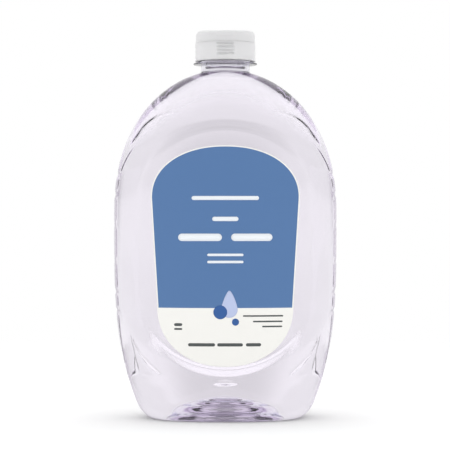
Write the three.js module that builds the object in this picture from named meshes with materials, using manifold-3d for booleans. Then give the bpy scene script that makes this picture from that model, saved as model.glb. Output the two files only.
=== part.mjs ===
// A 1.47 L hand soap refill: a clear blown bottle filled with soap, a film label on each broad face, and a
// flip-top screw closure with a sealing washer under its deck. Millimetres, +Z up, standing on z = 0, with
// the front at -Y.
import * as THREE from "three";
import { mergeVertices } from "three/addons/utils/BufferGeometryUtils.js";
import Module from "manifold-3d";

// ---- Driving dimensions ------------------------------------------------------------------------------

const GAP = 0.3; // clearance between neighbouring pieces
const WALL = 0.8; // blown wall

// Body outline. Each half-size is widest over the middle, rolls over to the neck and tucks in to the base.
const BODY_WIDTH = {
  half: 68.2, shoulderFrom: 126.2, rise: 2.16, round: 2.03, tuckFrom: 116.2, tuck: 18.2, tuckPower: 3.15,
};
const BODY_DEPTH = {
  half: 40.4, shoulderFrom: 120.2, rise: 2.6, round: 1.8, tuckFrom: 62.2, tuck: 5.2, tuckPower: 2,
};
const SECTION = { bodyExponent: 2.35, neckExponent: 2, changeFrom: 167.2 }; // superellipse exponents
const HEEL = { height: 9, inset: 6 }; // rounded edge between wall and base
const HEEL_ROWS = [0.5, 2, 5];
const WALL_TOP_Z = 203.2; // last even row, where the shoulder turns in steeply
const SHOULDER_ROWS = [206.2, 208.4, 210];

const NECK = { baseZ: 210.9, landZ: 226.5, outer: 15, bore: 12.7, boreFromZ: 209.4, edge: 0.6 };
const SUPPORT_RING = { bottomZ: 215.6, topZ: 217.2, r: 19.55 };
const THREAD = { pitch: 4.233, turns: 1.15, topZ: 225, crest: 16.15, rootWidth: 2.3, crestWidth: 1.1 };

const FOOT_SHARE = 0.9; // inner edge of the flat standing ring, as a share of its outer edge
const PUSH_UP = { share: 0.86, lip: 1.4, height: 12.6, power: 2.6 }; // dome inside the standing ring
const BASE_THICKNESS = 1.2;
const FILL_Z = 213.2; // top of the soap, in the neck

// Raised grip down each narrow side. The edge is [height, share of the half-depth].
const GRIP = { fromZ: 20, toZ: 184, fadeLow: 8, fadeHigh: 16, proud: 0.9, edgeWidth: 1.2 };
const GRIP_EDGE = [
  [20, 0.28], [40, 0.29], [58, 0.335], [78, 0.36], [142, 0.36],
  [152, 0.41], [163, 0.54], [171, 0.69], [177, 0.775],
];
const GRIP_GROOVES = { centreZ: 107, offsets: [11, 29.5, 41.5], depths: [0.3, 0.7, 0.6], halfWidth: 2.2 };

// Label outline: an arch over straight tapering sides over a half ellipse.
const LABEL = {
  thickness: 0.25,
  arch: { z: 134.3, halfWidth: 44.5, height: 30.8, power: 2.15 },
  bowl: { z: 68.5, halfWidth: 40.5, height: 35, power: 2.1 },
  backScale: 0.86, // the back label is a smaller copy, about the same middle
};
const PANEL = { above: 13.5, beside: 10, below: 6.3, slope: 6, depth: 1 }; // recess, reaching past the label

// Closure: SHELL screws on to the neck, and LID snaps shut over its spigot.
const SHELL = {
  bottomZ: 217.8, partingZ: 229, bottomR: 18.5, topR: 18.4, bore: 16.5, deck: 1.3, chamfer: 0.5,
};
const ORIFICE_R = 3.2;
const SPIGOT = { inner: 15.8, outer: 16.6, height: 1.2 }; // low ring that the lid snaps over
const LID = { topZ: 236.8, bottomR: 18.2, topR: 18, corner: 2, wall: 1.1, ceiling: 1.3 };
const PLUG = { inner: 1.7, outer: 2.85, reach: 1, lead: 0.5 }; // seals the orifice when the lid is shut
const THUMB = { width: 10, height: 7.6, slot: 0.95, shelf: 0.5, ridges: 3, ridgeHeight: 0.7 };
const LID_RIDGE = { z: 232.8, proud: 0.4, bury: 0.8 }; // the lid's own ridge, in line with the recess
const HINGE = { width: 9, outer: 19.05, strap: 2.8, gap: 0.35 }; // two straps that meet on the pivot line
const WASHER = { inner: 11.8, outer: 16, thickness: 0.6 };

// Fineness of the facets.
const FACETS = 48; // round the closure
const THREAD_STEPS = 26; // in one turn
const LID_ARC_STEPS = 4;
const QUARTER = { grip: [0, 0.55], face: 6 }; // columns on each quarter of the body, besides the grip's edge
const BODY_ROW_STEP = 10;
const LABEL_GRID = { rows: 14, columns: 8 };

// ---- Helpers -----------------------------------------------------------------------------------------

const wasm = await Module();
wasm.setup();

const { clamp, lerp, mapLinear } = THREE.MathUtils;
const clamp01 = (t) => clamp(t, 0, 1);
const smoothstep = (t) => clamp01(t) ** 2 * (3 - 2 * clamp01(t));
const evenSteps = (from, to, count) => Array.from({ length: count + 1 }, (_, i) => lerp(from, to, i / count));

/** A smooth curve through [x, y] knots, level beyond both ends. */
function curveThrough(knots) {
  const slopeAt = (i) => {
    if (i === 0 || i === knots.length - 1) return 0;
    return (knots[i + 1][1] - knots[i - 1][1]) / (knots[i + 1][0] - knots[i - 1][0]);
  };
  return (x) => {
    let i = 0;
    while (i < knots.length - 2 && x > knots[i + 1][0]) i += 1;
    const span = knots[i + 1][0] - knots[i][0];
    const rise = knots[i + 1][1] - knots[i][1];
    const t = clamp01((x - knots[i][0]) / span);
    const [start, end] = [slopeAt(i) * span, slopeAt(i + 1) * span];
    const bend = 3 * rise - 2 * start - end;
    return knots[i][1] + t * start + t ** 2 * bend + t ** 3 * (start + end - 2 * rise);
  };
}

/** Two triangles over a quad, divided along its shorter diagonal. */
function splitQuad(points, a, b, c, d) {
  if (points[a].distanceTo(points[c]) <= points[b].distanceTo(points[d])) return [a, b, c, a, c, d];
  return [a, b, d, b, c, d];
}

/** One closed mesh through rings of points, anticlockwise from above. An end may be a single point. */
function loft(rings) {
  const points = rings.flat();
  const index = [];
  let start = 0;
  rings.slice(0, -1).forEach((ring, r) => {
    const next = start + ring.length;
    const count = Math.max(ring.length, rings[r + 1].length);
    for (let i = 0; i < count; i += 1) {
      const j = (i + 1) % count;
      if (ring.length === 1) index.push(start, next + j, next + i);
      else if (rings[r + 1].length === 1) index.push(start + i, start + j, next);
      else index.push(...splitQuad(points, start + i, start + j, next + j, next + i));
    }
    start = next;
  });
  const positions = points.flatMap((p) => [p.x, p.y, p.z]);
  const geometry = new THREE.BufferGeometry();
  geometry.setAttribute("position", new THREE.Float32BufferAttribute(positions, 3));
  geometry.setIndex(index);
  return geometry;
}

function middleOf(ring) {
  return [ring.reduce((sum, p) => sum.add(p), new THREE.Vector3()).divideScalar(ring.length)];
}

/** A loft whose end rings are closed by a fan about their middles. */
const cappedLoft = (rings) => loft([middleOf(rings[0]), ...rings, middleOf(rings.at(-1))]);

function toSolid(geometry) {
  const bare = geometry.clone();
  bare.deleteAttribute("normal");
  bare.deleteAttribute("uv");
  const merged = mergeVertices(bare, 1e-4);
  const vertProperties = new Float32Array(merged.attributes.position.array);
  const triVerts = new Uint32Array(merged.index.array);
  return new wasm.Manifold(new wasm.Mesh({ numProp: 3, vertProperties, triVerts }));
}

function toGeometry(solid) {
  const { vertProperties, triVerts } = solid.getMesh();
  const geometry = new THREE.BufferGeometry();
  geometry.setAttribute("position", new THREE.BufferAttribute(vertProperties, 3));
  geometry.setIndex(new THREE.BufferAttribute(triVerts, 1));
  return geometry;
}

/** A turned ring about Z, from its closed outline of [radius, height] points. */
function turned(outline) {
  const points = [...outline, outline[0]].map(([r, z]) => new THREE.Vector2(r, z));
  return new THREE.LatheGeometry(points, FACETS).rotateX(Math.PI / 2);
}

function block(width, depth, height, x, y, z) {
  return new THREE.BoxGeometry(width, depth, height).translate(x, y, z);
}

// ---- Body surface ------------------------------------------------------------------------------------

/** A half-size by height: full in the middle, rolling over to the neck and tucked in at the base. */
function bodyHalfSize({ half, shoulderFrom, rise, round, tuckFrom, tuck, tuckPower }) {
  const apex = (NECK.baseZ - shoulderFrom) / (1 - (NECK.outer / half) ** round) ** (1 / rise);
  return (z) => {
    if (z > shoulderFrom) return half * (1 - ((z - shoulderFrom) / apex) ** rise) ** (1 / round);
    return half - tuck * Math.max(0, (tuckFrom - z) / tuckFrom) ** tuckPower;
  };
}

const halfWidthAt = bodyHalfSize(BODY_WIDTH);
const halfDepthAt = bodyHalfSize(BODY_DEPTH);
const gripEdgeAt = curveThrough(GRIP_EDGE);

function exponentAt(z) {
  const { bodyExponent, neckExponent, changeFrom } = SECTION;
  return lerp(bodyExponent, neckExponent, smoothstep((z - changeFrom) / (NECK.baseZ - changeFrom)));
}

/** Half-width of the label outline at height z. */
function labelHalfWidth(z) {
  const { arch, bowl } = LABEL;
  if (z > bowl.z && z < arch.z) {
    return mapLinear(z, bowl.z, arch.z, bowl.halfWidth, arch.halfWidth);
  }
  const end = z <= bowl.z ? bowl : arch;
  const share = clamp01(Math.abs(z - end.z) / end.height);
  return end.halfWidth * (1 - share ** end.power) ** (1 / end.power);
}

/** Depth of the recess round the label at (x, z): full inside the outline, easing out past it. */
function panelDepth(x, z) {
  const { arch, bowl } = LABEL;
  const middle = clamp(z, bowl.z, arch.z);
  const height = z > middle ? arch.height + PANEL.above : bowl.height + PANEL.below;
  const halfWidth = labelHalfWidth(middle) + PANEL.beside;
  const past = (Math.hypot(x / halfWidth, (z - middle) / height) - 1) * halfWidth;
  return PANEL.depth * (1 - smoothstep(past / PANEL.slope + 1));
}

function gripProudAt(z) {
  const { proud, fromZ, toZ, fadeLow, fadeHigh } = GRIP;
  return proud * smoothstep((z - fromZ) / fadeLow) * smoothstep((toZ - z) / fadeHigh);
}

function grooveDepth(z) {
  const fromCentre = Math.abs(z - GRIP_GROOVES.centreZ);
  const depths = GRIP_GROOVES.offsets.map((offset, i) => {
    return GRIP_GROOVES.depths[i] * (1 - smoothstep(Math.abs(fromCentre - offset) / GRIP_GROOVES.halfWidth));
  });
  return Math.max(...depths);
}

/** A point of the body at height z and an angle round it, moved in by `inset` from the outer face. */
function bodyPoint(z, angle, inset) {
  const heel = HEEL.inset * (1 - Math.sqrt(1 - clamp01((HEEL.height - z) / HEEL.height) ** 2));
  const onShoulder = smoothstep((z - BODY_DEPTH.shoulderFrom) / (WALL_TOP_Z - BODY_DEPTH.shoulderFrom));
  const rollOver = inset * onShoulder; // an inner wall also sits lower where the shoulder turns in
  const proud = gripProudAt(z);
  const halfWidth = halfWidthAt(z + rollOver) - heel - inset;
  const halfDepth = halfDepthAt(z + rollOver) - heel - inset;
  const power = 2 / exponentAt(z);
  const across = Math.abs(Math.cos(angle)) ** power;
  const along = Math.abs(Math.sin(angle)) ** power;
  const edge = gripEdgeAt(z);
  const edgeShare = GRIP.edgeWidth / halfDepth;
  const onGrip = 1 - smoothstep((along - edge + edgeShare) / edgeShare);
  const x = (halfWidth - proud + onGrip * (proud - grooveDepth(z))) * across;
  const y = halfDepth * along - panelDepth(x, z);
  return new THREE.Vector3(x * Math.sign(Math.cos(angle)), y * Math.sign(Math.sin(angle)), z);
}

/** Angles round the body at height z, with a column along each edge of the grips. */
function columnAngles(z) {
  const edge = gripEdgeAt(z);
  const foot = edge - GRIP.edgeWidth / halfDepthAt(z);
  const angleOf = (share) => Math.asin(share ** (exponentAt(z) / 2));
  const quarter = [...QUARTER.grip.map((share) => angleOf(share * foot)), angleOf(foot)];
  quarter.push(...evenSteps(angleOf(edge), Math.PI / 2, QUARTER.face).slice(0, -1));
  const half = [...quarter, Math.PI / 2, ...quarter.slice(1).reverse().map((angle) => Math.PI - angle)];
  return [...half, ...half.map((angle) => angle + Math.PI)];
}

const bodyRing = (z, inset) => columnAngles(z).map((angle) => bodyPoint(z, angle, inset));
const scaledRing = (ring, share, z) => ring.map((p) => new THREE.Vector3(p.x * share, p.y * share, z));
const neckRing = (r, z) => {
  const angles = columnAngles(NECK.baseZ);
  return angles.map((angle) => new THREE.Vector3(r * Math.cos(angle), r * Math.sin(angle), z));
};

/** Row heights on the wall: even rows, with three rows across each groove of the grips. */
function wallRows(from, to) {
  const { centreZ, offsets, halfWidth } = GRIP_GROOVES;
  const grooves = offsets.flatMap((offset) => [centreZ - offset, centreZ + offset]);
  const grooveRows = grooves.flatMap((z) => [z - halfWidth, z, z + halfWidth]);
  const even = evenSteps(from, to, Math.round((to - from) / BODY_ROW_STEP));
  const clear = even.filter((z) => grooves.every((groove) => Math.abs(z - groove) > halfWidth * 1.5));
  return [...clear, ...grooveRows].sort((a, b) => a - b);
}

// ---- Pieces ------------------------------------------------------------------------------------------

/** A helical ridge from its upper end down, between a buried root and a crest, fading out at both ends. */
function helicalRidge({ root, crest, topZ, turns, rootWidth, crestWidth }) {
  const steps = Math.round(turns * THREAD_STEPS);
  const rings = evenSteps(0, 1, steps).map((share) => {
    const angle = -share * turns * 2 * Math.PI;
    const z = topZ - share * turns * THREAD.pitch;
    const fade = 0.05 + 0.95 * smoothstep((Math.min(share, 1 - share) * steps) / 3);
    const edge = lerp(root, crest, fade);
    const corner = (r, up) => new THREE.Vector3(r * Math.cos(angle), r * Math.sin(angle), z + up);
    const section = [corner(root, -rootWidth / 2), corner(edge, -crestWidth / 2)];
    section.push(corner(edge, crestWidth / 2), corner(root, rootWidth / 2));
    return crest > root ? section : section.reverse();
  });
  return cappedLoft(rings);
}

/** Rings of the pushed-up base from its middle out, at a height above the outside of the base. */
function pushUpRings(lift, shrink) {
  const foot = bodyRing(0, 0);
  const { lip, height, power } = PUSH_UP;
  const domeHeight = (share) => lip + (height - lip) * (1 - share ** power);
  const middle = new THREE.Vector3(0, 0, height + lift);
  const rings = evenSteps(0.2, 1, 5).map((share) => {
    return scaledRing(foot, PUSH_UP.share * share - shrink, domeHeight(share) + lift);
  });
  return [[middle], ...rings];
}

function makeBottle() {
  const foot = bodyRing(0, 0);
  const rows = wallRows(HEEL.height, WALL_TOP_Z);
  const { baseZ, landZ, outer, bore, boreFromZ, edge } = NECK;
  const neck = [
    [outer, baseZ], [outer, SUPPORT_RING.bottomZ - edge], [SUPPORT_RING.r, SUPPORT_RING.bottomZ],
    [SUPPORT_RING.r, SUPPORT_RING.topZ - edge], [outer, SUPPORT_RING.topZ], [outer, landZ - edge],
    [outer - edge, landZ], [bore, landZ], [bore, boreFromZ],
  ];
  const outside = [...HEEL_ROWS, ...rows, ...SHOULDER_ROWS].map((z) => bodyRing(z, 0));
  const inside = [HEEL.height / 2, ...rows, SHOULDER_ROWS[0]].map((z) => bodyRing(z, WALL)).reverse();
  const shell = loft([
    ...pushUpRings(0, 0),
    scaledRing(foot, FOOT_SHARE, 0),
    foot,
    ...outside,
    ...neck.map(([r, z]) => neckRing(r, z)),
    ...inside,
    scaledRing(foot, 0.97, BASE_THICKNESS),
    ...pushUpRings(BASE_THICKNESS, 0.02).reverse(),
  ]);
  const ridge = helicalRidge({ ...THREAD, root: NECK.outer - 0.4 });
  return toGeometry(toSolid(shell).add(toSolid(ridge)));
}

function makeSoap() {
  const foot = bodyRing(0, 0);
  const inset = WALL + GAP * 1.5;
  const neckR = NECK.bore - GAP;
  return loft([
    ...pushUpRings(BASE_THICKNESS + GAP, 0.03),
    scaledRing(foot, 0.95, BASE_THICKNESS + GAP),
    ...[HEEL.height / 2, ...wallRows(HEEL.height, WALL_TOP_Z)].map((z) => bodyRing(z, inset)),
    neckRing(neckR, NECK.boreFromZ - 1),
    neckRing(neckR, FILL_Z),
    [new THREE.Vector3(0, 0, FILL_Z)],
  ]);
}

/** A label film lying on the floor of the recess on one broad face, the front (-1) or the back (1). */
function makeLabel(side, scale) {
  const { rows, columns } = LABEL_GRID;
  const bottomZ = LABEL.bowl.z - LABEL.bowl.height;
  const topZ = LABEL.arch.z + LABEL.arch.height;
  const middleZ = (bottomZ + topZ) / 2;
  const facePoint = (x, z, lift) => {
    const n = exponentAt(z);
    const across = Math.abs(x) / (halfWidthAt(z) - gripProudAt(z));
    const y = halfDepthAt(z) * (1 - across ** n) ** (1 / n);
    return new THREE.Vector3(x, side * (y - PANEL.depth + lift), z);
  };
  const rings = evenSteps(0.02, 0.98, rows).map((share) => {
    const outlineZ = mapLinear(Math.cos(share * Math.PI), 1, -1, bottomZ, topZ);
    const z = lerp(middleZ, outlineZ, scale);
    const halfWidth = labelHalfWidth(outlineZ) * scale;
    const xs = evenSteps(-halfWidth, halfWidth, columns);
    const under = xs.map((x) => facePoint(x, z, GAP * 1.5)).reverse();
    const over = xs.map((x) => facePoint(x, z, GAP * 1.5 + LABEL.thickness));
    const ring = [...over, ...under];
    return side < 0 ? ring : ring.reverse();
  });
  return cappedLoft(rings);
}

function makeClosureBase() {
  const { bottomZ, partingZ, bottomR, topR, bore, deck, chamfer } = SHELL;
  const shell = toSolid(turned([
    [bore, bottomZ], [bottomR - chamfer, bottomZ], [bottomR, bottomZ + chamfer], [topR, partingZ],
    [SPIGOT.outer, partingZ], [SPIGOT.outer, partingZ + SPIGOT.height],
    [SPIGOT.inner, partingZ + SPIGOT.height], [SPIGOT.inner, partingZ], [ORIFICE_R, partingZ],
    [ORIFICE_R, partingZ - deck], [bore, partingZ - deck],
  ]));
  const ridge = toSolid(helicalRidge({
    root: bore + 0.4, crest: NECK.outer + GAP * 1.5, topZ: THREAD.topZ - THREAD.pitch / 2, turns: 0.9,
    rootWidth: 2.1, crestWidth: 0.9,
  }));
  const strapZ = partingZ - HINGE.gap - HINGE.strap / 2;
  const strap = toSolid(hingeStrap((bore + topR) / 2, strapZ));
  return toGeometry(shell.add(ridge).add(strap).subtract(thumbRecess()));
}

/** A strap of the hinge at the back, from inside the wall out. */
function hingeStrap(innerY, z) {
  return block(HINGE.width, HINGE.outer - innerY, HINGE.strap, 0, (HINGE.outer + innerY) / 2, z);
}

/** The thumb recess under the lid's front edge: a shelf with deeper slots between its level ridges. */
function thumbRecess() {
  const { width, height, slot, shelf, ridges, ridgeHeight } = THUMB;
  const topZ = SHELL.partingZ - 0.6;
  const front = SHELL.bottomR + 1;
  const cut = (depth, tall, z) => toSolid(block(width, depth + 1, tall, 0, -front + (depth + 1) / 2, z));
  const slotHeight = (height - ridges * ridgeHeight) / (ridges + 1);
  let recess = cut(shelf, height, topZ - height / 2);
  for (let i = 0; i <= ridges; i += 1) {
    recess = recess.add(cut(slot, slotHeight, topZ - slotHeight / 2 - i * (slotHeight + ridgeHeight)));
  }
  return recess;
}

function makeLid() {
  const { topZ, bottomR, topR, corner, wall, ceiling } = LID;
  const bottomZ = SHELL.partingZ + GAP;
  const underZ = topZ - ceiling;
  const plugZ = SHELL.partingZ - PLUG.reach;
  const roundedEdge = evenSteps(0, Math.PI / 2, LID_ARC_STEPS).map((angle) => {
    return [topR - corner + corner * Math.cos(angle), topZ - corner + corner * Math.sin(angle)];
  });
  const profile = [
    [0, underZ], [PLUG.inner, underZ], [PLUG.inner, plugZ], [PLUG.outer - PLUG.lead, plugZ],
    [PLUG.outer, plugZ + PLUG.lead], [PLUG.outer, underZ], [bottomR - wall, underZ],
    [bottomR - wall, bottomZ], [bottomR, bottomZ], ...roundedEdge, [0, topZ],
  ];
  const points = profile.map(([r, z]) => new THREE.Vector2(r, z));
  const shell = toSolid(new THREE.LatheGeometry(points, FACETS).rotateX(Math.PI / 2));
  const ridgeDepth = LID_RIDGE.proud + LID_RIDGE.bury;
  const ridgeY = -bottomR - LID_RIDGE.proud + ridgeDepth / 2;
  const ridge = toSolid(block(THUMB.width, ridgeDepth, THUMB.ridgeHeight, 0, ridgeY, LID_RIDGE.z));
  const strapZ = SHELL.partingZ + HINGE.gap + HINGE.strap / 2;
  const strap = toSolid(hingeStrap(bottomR - wall / 2, strapZ));
  return toGeometry(shell.add(ridge).add(strap));
}

function makeWasher() {
  const topZ = SHELL.partingZ - SHELL.deck - GAP;
  const { inner, outer, thickness } = WASHER;
  return turned([[inner, topZ - thickness], [outer, topZ - thickness], [outer, topZ], [inner, topZ]]);
}

// ---- Assembly ----------------------------------------------------------------------------------------

const clear = { metalness: 0, transparent: true, roughness: 0.05 };
const clearPet = new THREE.MeshStandardMaterial({ ...clear, color: 0xe9e7ee, opacity: 0.3 });
const lavenderSoap = new THREE.MeshStandardMaterial({ ...clear, color: 0xdcd8e8, opacity: 0.5 });
const printedFilm = new THREE.MeshStandardMaterial({ color: 0x5f80ae, roughness: 0.4, metalness: 0 });
const naturalPlastic = new THREE.MeshStandardMaterial({ color: 0xe2e2e4, roughness: 0.4, metalness: 0 });
const whiteFoam = new THREE.MeshStandardMaterial({ color: 0xf4f4f2, roughness: 0.8, metalness: 0 });

function named(name, geometry, material) {
  const mesh = new THREE.Mesh(geometry, material);
  mesh.name = name;
  return mesh;
}

const filledBottle = new THREE.Group().add(
  named("bottle", makeBottle(), clearPet),
  named("liquid_soap", makeSoap(), lavenderSoap),
  named("front_label", makeLabel(-1, 1), printedFilm),
  named("back_label", makeLabel(1, LABEL.backScale), printedFilm),
);
const closure = new THREE.Group().add(
  named("sealing_washer", makeWasher(), whiteFoam),
  named("closure_base", makeClosureBase(), naturalPlastic),
  named("flip_lid", makeLid(), naturalPlastic),
);

export default new THREE.Group().add(filledBottle, closure);
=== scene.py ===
"""A clear hand soap refill bottle with a flip-top closure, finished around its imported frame.

Shapes are worked out in millimetres and written in metres, +Z up, with the front at -Y.
"""
import math

import bpy
import numpy as np
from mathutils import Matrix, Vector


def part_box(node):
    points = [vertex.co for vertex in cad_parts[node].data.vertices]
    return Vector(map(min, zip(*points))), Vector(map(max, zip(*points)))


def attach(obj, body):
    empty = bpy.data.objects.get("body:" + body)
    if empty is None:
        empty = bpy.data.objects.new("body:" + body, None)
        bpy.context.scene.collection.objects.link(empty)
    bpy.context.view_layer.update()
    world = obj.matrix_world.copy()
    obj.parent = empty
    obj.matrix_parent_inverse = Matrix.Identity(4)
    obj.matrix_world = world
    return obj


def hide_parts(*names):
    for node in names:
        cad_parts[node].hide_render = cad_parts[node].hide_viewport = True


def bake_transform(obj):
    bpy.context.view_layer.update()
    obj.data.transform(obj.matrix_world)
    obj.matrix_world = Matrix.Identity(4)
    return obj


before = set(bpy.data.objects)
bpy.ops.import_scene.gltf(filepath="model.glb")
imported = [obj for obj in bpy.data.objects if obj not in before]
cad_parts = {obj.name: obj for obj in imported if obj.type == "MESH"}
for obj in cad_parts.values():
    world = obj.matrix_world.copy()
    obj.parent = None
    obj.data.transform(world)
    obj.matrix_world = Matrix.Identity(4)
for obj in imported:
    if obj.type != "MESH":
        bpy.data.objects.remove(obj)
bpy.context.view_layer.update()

MM = 0.001


def box_mm(node):
    """Lowest and highest corner of a CAD node, in millimetres."""
    low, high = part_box(node)
    return np.array(low) / MM, np.array(high) / MM


BOTTLE_HIGH = box_mm("bottle")[1]
SHELL_LOW, SHELL_HIGH = box_mm("closure_base")
LID_HIGH = box_mm("flip_lid")[1]
WASHER_LOW, WASHER_HIGH = box_mm("sealing_washer")
FILL_Z = box_mm("liquid_soap")[1][2]

# ---- Sizes, in millimetres -----------------------------------------------------------------------------

WALL, NECK_WALL = 0.8, 1.0  # the blown wall is thicker towards the neck
NECK_WALL_FROM_Z, NECK_WALL_TO_Z = 182, 204
BODY_WIDTH = dict(
    half=BOTTLE_HIGH[0], shoulder_from=126.2, rise=2.16, curve=2.03,
    tuck_from=116.2, tuck=18.2, tuck_power=3.15)
BODY_DEPTH = dict(
    half=40.4, shoulder_from=120.2, rise=2.6, curve=1.8, tuck_from=62.2, tuck=5.2, tuck_power=2)
BODY_EXPONENT, NECK_EXPONENT, EXPONENT_FROM_Z = 2.35, 2, 167.2
HEEL_HEIGHT, HEEL_INSET = 9, 6
WALL_TOP_Z, INNER_TOP_Z = 203.2, 208.8
SHOULDER_FROM_Z = 192  # the rings are spaced for the turn in to the neck from here up

NECK_BASE_Z, NECK_TOP_Z = 210.9, BOTTLE_HIGH[2]
NECK_R, BORE_R = 15, 12.7
RING_LOW_Z, RING_HIGH_Z, RING_R = 215.6, 217.2, 19.55
THREAD_PITCH, THREAD_TURNS, THREAD_TOP_Z = 4.233, 1.15, 225
THREAD = dict(height=1.15, fade=8 * THREAD_TURNS, crest=0.45, flank=0.8)
CAP_THREAD_TURNS = 0.9
CAP_THREAD = dict(height=1.0, fade=8, crest=0.4, flank=0.7)

FOOT_SHARE, PUSH_UP_SHARE, PUSH_UP_LIP, PUSH_UP_HEIGHT, PUSH_UP_POWER = 0.94, 0.86, 1.4, 13.6, 2
PUSH_UP_RIBS, RIB_HEIGHT, RIB_FADE = 5, 0.3, 3  # the ribs fade out over the inner 1 / RIB_FADE of the foot
BASE_THICKNESS = 1.2

SOAP_FOOT_SHARE = 0.93
SOAP_NECK = [(1.5, 209.75), (0.6, 210.2), (0.1, 211), (0, 211.8)]  # (distance out from the bore, height)
SOAP_BRIM = [(0, 0.8), (-0.4, 0.35), (-1.2, 0.1)]  # (distance out from the bore, height over the fill)
SOAP_LEVEL_R = 8

GRIP_FROM_Z, GRIP_TO_Z, GRIP_FADE_LOW, GRIP_FADE_HIGH = 20, 184, 8, 9
GRIP_PROUD = 0.4
GRIP_EDGE_WIDTH = [(135, 2.4), (160, 1.1)]  # (height, width), wider down the straight sides
GRIP_EDGE = [  # (height, share of the half-depth)
    (20, 0.28), (40, 0.29), (58, 0.335), (78, 0.36), (142, 0.36), (152, 0.41), (163, 0.54), (171, 0.69),
    (177, 0.775), (186, 0.9),
]
GROOVE_CENTRE_Z, GROOVE_HALF_WIDTH = 107, 2.2
GROOVES = [(11, 0.3), (29.5, 0.7), (41.5, 0.6)]  # distance from the centre height, depth

# Creases in the wall, each along a line of (height, share of the half-depth).
SHOULDER_CREASE = dict(
    line=[(165, 0.46), (172, 0.54), (177, 0.577), (180, 0.622), (182.5, 0.685), (184.5, 0.76), (187, 0.89)],
    half_width=1.3, depth=0.7)
DART = dict(half_width=0.65, depth=0.32)
OUTER_DART = dict(line=[(26.5, 0.62), (41, 0.597), (55, 0.566)], **DART)
INNER_DART = dict(line=[(26.5, 0.86), (33, 0.779), (40, 0.678), (46, 0.628), (55, 0.566)], **DART)
CREASES = [SHOULDER_CREASE, OUTER_DART, INNER_DART]
CREASE_FADE = 6
LAST_DART_SHARE = 0.95  # the darts' columns reach no further
COLUMN_GAP = 0.012  # least share of the half-depth between neighbouring blocks of columns

LABEL_ARCH = dict(z=134.3, half_width=44.5, height=30.8, power=2.15)
LABEL_BOWL = dict(z=68.5, half_width=40.5, height=35, power=2.1)
BACK_LABEL_SCALE, LABEL_BORDER = 0.86, 0.75
PANEL = dict(above=13.5, beside=10, below=6.3, slope=6, depth=1)
FILM_GAP, FILM_THICKNESS, INK_GAP, INK_THICKNESS = 0.05, 0.12, 0.02, 0.03
MARK = dict(z=24.2, half_width=5.6, half_height=1.9, depth=0.8, level=0.5)  # small recess low on the front

# Print as (x, z, width, height) bars, with x and z of the middle, and as (x, z, radius) discs.
PALE_BARS = [
    (0, 133.7, 40, 2.4), (0, 121.3, 15.6, 2.6), (-15, 110.4, 26, 4.4), (15.7, 110.4, 24.5, 4.4),
    (0, 100, 21.5, 1.5), (0, 95.8, 21.5, 1.5),
]
GREY_BARS = [
    (-14.1, 46.7, 16, 1.9), (2.8, 46.7, 15.2, 1.9), (16.7, 46.7, 9, 1.9), (-28, 58.6, 4.8, 1.7),
    (-28, 56, 4.8, 1.1),
]
SMALL_BARS = [(22.4, 63.8, 24, 0.9), (25.2, 60.5, 17.6, 0.9), (27.8, 57.5, 12, 0.9)]
BACK_TITLE = (0, 134, 30, 2.6)
BACK_TEXT = [(0, 126 - 3.4 * row, 52 - 14 * (row % 4 == 3), 1.1) for row in range(15)]
BACK_GREY_BARS = [(0, 62 - 3 * row, 42 - 5 * row, 0.9) for row in range(4)]
DROP = dict(x=2.4, z=67.6, radius=4.9, height=11.2)
DROP_WAIST, DROP_POINT = 0.35, 1.35  # how much it narrows, and the power of its rise to the point
BUBBLES = [(-3, 66, 4.1), (6, 60.2, 2.1)]

PARTING_Z = 229
SHELL_BOTTOM_R, SHELL_TOP_R, SHELL_BORE, DECK = 18.5, 18.4, 16.5, 1.3
ORIFICE_R, SPIGOT_IN, SPIGOT_OUT = 3.2, 15.8, 16.6
LID_BOTTOM_R, LID_TOP_R, LID_CORNER, LID_WALL, LID_CEILING = 18.2, 18, 3.2, 1.1, 1.3
LID_GAP, LID_FRONT_DROP = 0.08, 1.3  # gap along the parting line, and how much lower the lid is in front
PLUG_IN, PLUG_OUT, PLUG_REACH = 1.7, 2.85, 1
THUMB = dict(width=10, height=7.6, slot=1.6, shelf=0.6, ridges=3, ridge=0.7, top_gap=0.6)
LID_RIDGE_Z, LID_RIDGE_PROUD = 232.8, 0.4
SIDE_SOFT, END_SOFT, SLOT_SOFT, STRAP_SOFT = 0.5, 0.3, 0.25, 0.4  # how far the edges of raised shapes ease
OUTSIDE_MARGIN = 0.5  # points this far out from an inner face are on the outer one
HINGE_WIDTH, HINGE_OUT, STRAP, STRAP_GAP = 9, SHELL_HIGH[1], 2.8, 0.35
WEB_INSET, WEB_INNER, WEB_OUTER, WEB_OVERLAP = 0.6, 0.45, 0.15, 0.3  # in from the straps' faces, and over them
WASHER_INNER_R = 11.8

FLOOR_R, FLOOR_Z = 900, -0.1

# ---- Fineness ------------------------------------------------------------------------------------------

# Columns in each quarter of the body: up to, across and past the shoulder crease, across the edge of the
# grip, up to and across the outer dart, up to and across the inner dart, and over the face.
COLUMN_BLOCKS = [9, 6, 4, 5, 4, 5, 3, 5, 23]
FACE_COLUMN_EASE = 0.4  # how much the face's columns draw together towards the inner dart
ROW_SPACING = [  # (height, spacing of the rings there)
    (9, 1.6), (20, 1.4), (22, 0.5), (27, 0.5), (28, 0.85), (52, 0.85), (60, 1.85), (142, 1.85), (158, 0.85),
    (192, 0.85),
]
HEEL_ROWS, SHOULDER_ROWS = 9, 26
INNER_HEEL_ROWS, INNER_HEEL_SKIP, INNER_SHOULDER_ROWS, INNER_COARSENESS = 7, 3, 12, 2.6
BASE_SHARES = [*np.linspace(0, PUSH_UP_SHARE, 30), 0.88, 0.9, 0.92, FOOT_SHARE]
FLOOR_SHARES = [0, 0.14, 0.3, 0.46, 0.6, 0.72, 0.8, 0.85, 0.88, 0.9]
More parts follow.
